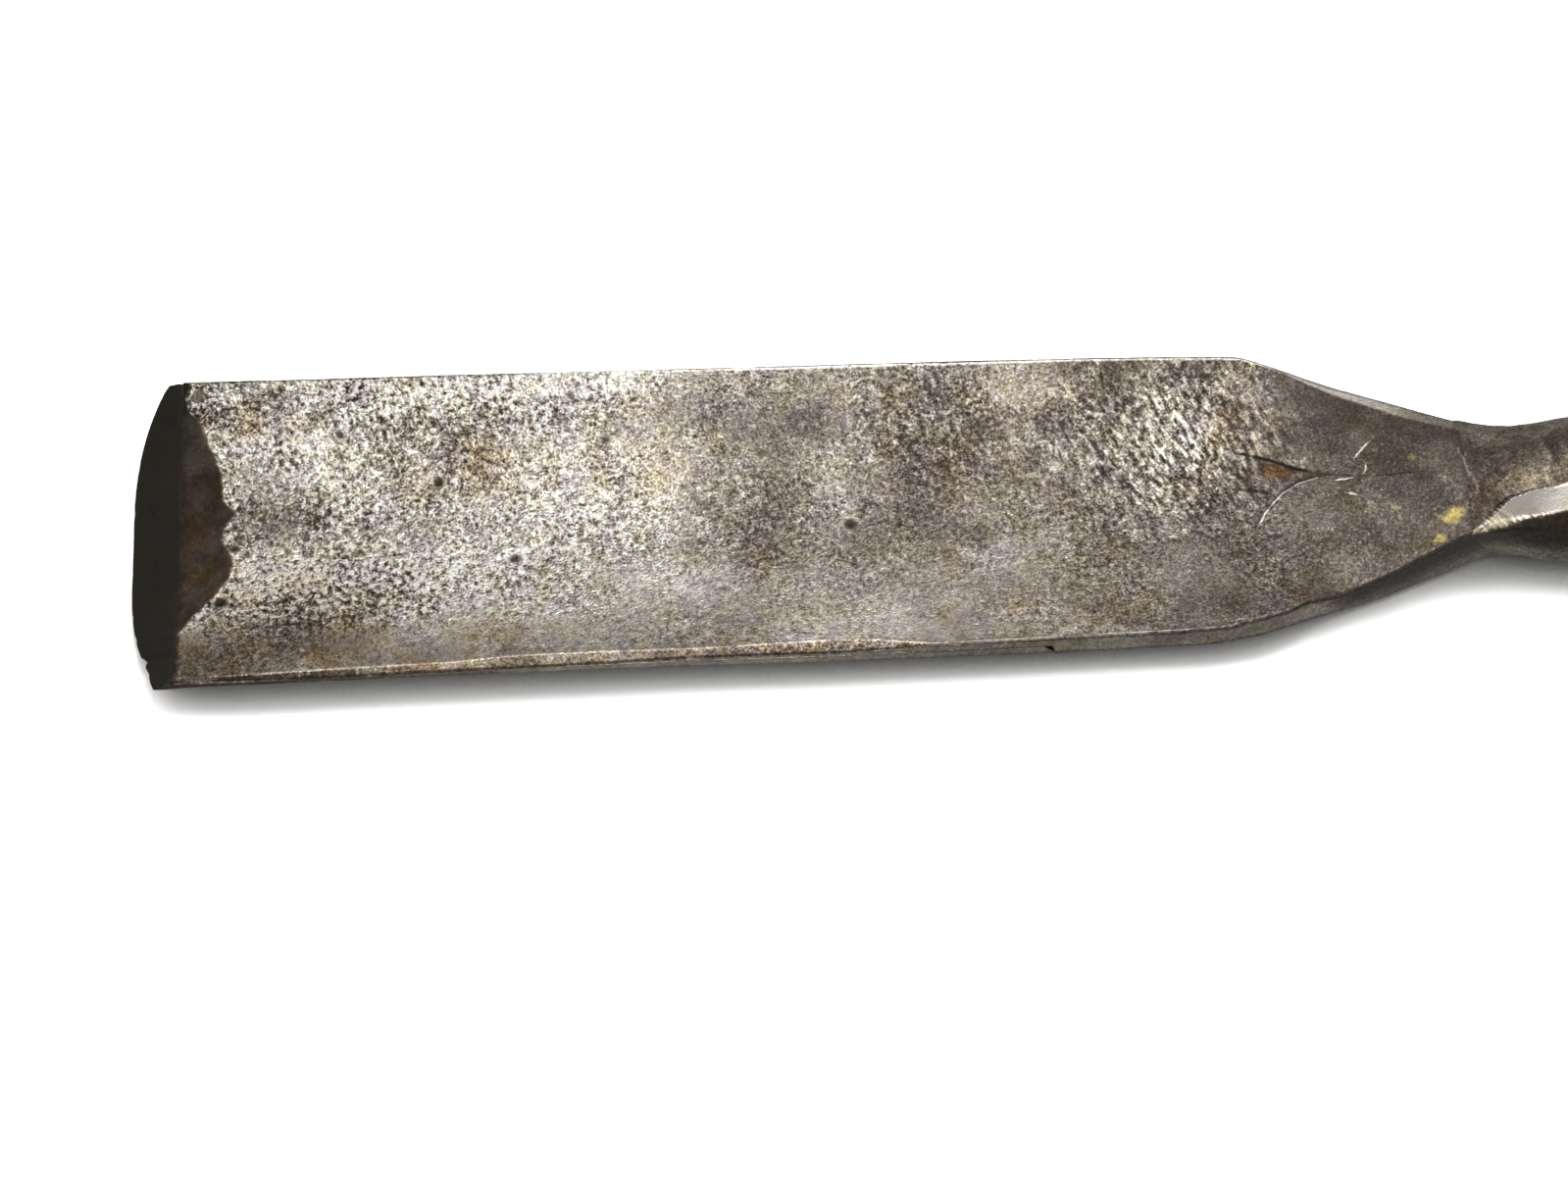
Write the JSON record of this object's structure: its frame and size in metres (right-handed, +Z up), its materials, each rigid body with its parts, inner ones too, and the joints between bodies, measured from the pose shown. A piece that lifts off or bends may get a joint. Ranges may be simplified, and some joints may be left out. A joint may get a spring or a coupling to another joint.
{
  "type": "socket gouge",
  "caption": "Wide shallow-sweep in-cannel socket gouge: laid steel and iron blade, scarf-welded rolled socket, driven turned handle with a leather striking end.",
  "frame": {"origin": "under the middle of the tool's box, level with the lowest line of the handle's barrel", "axes": "+X along the tool from the cutting edge towards the striking end, +Z up with the hollow of the blade facing up"},
  "size_m": [0.4354, 0.0508, 0.034],
  "materials": {
    "worn_iron": "pitted and cleaned wrought iron with brown patina",
    "laid_steel": "dark oiled steel",
    "socket_iron": "brown patinated forged iron",
    "handle_wood": "oiled, worn hardwood",
    "leather": "hammered, burnished leather"
  },
  "bodies": {
    "forging": {"blade_iron": "worn_iron", "blade_steel": "laid_steel", "socket": "socket_iron"},
    "handle": {"handle": "handle_wood", "leather_washer_1": "leather", "leather_washer_2": "leather", "leather_washer_3": "leather", "leather_washer_4": "leather"}
  },
  "joints": [
    {"name": "handle_draw", "type": "slide", "parent": "forging", "child": "handle", "axis": [1, 0, 0], "range_m": [0, 0.06]}
  ]
}
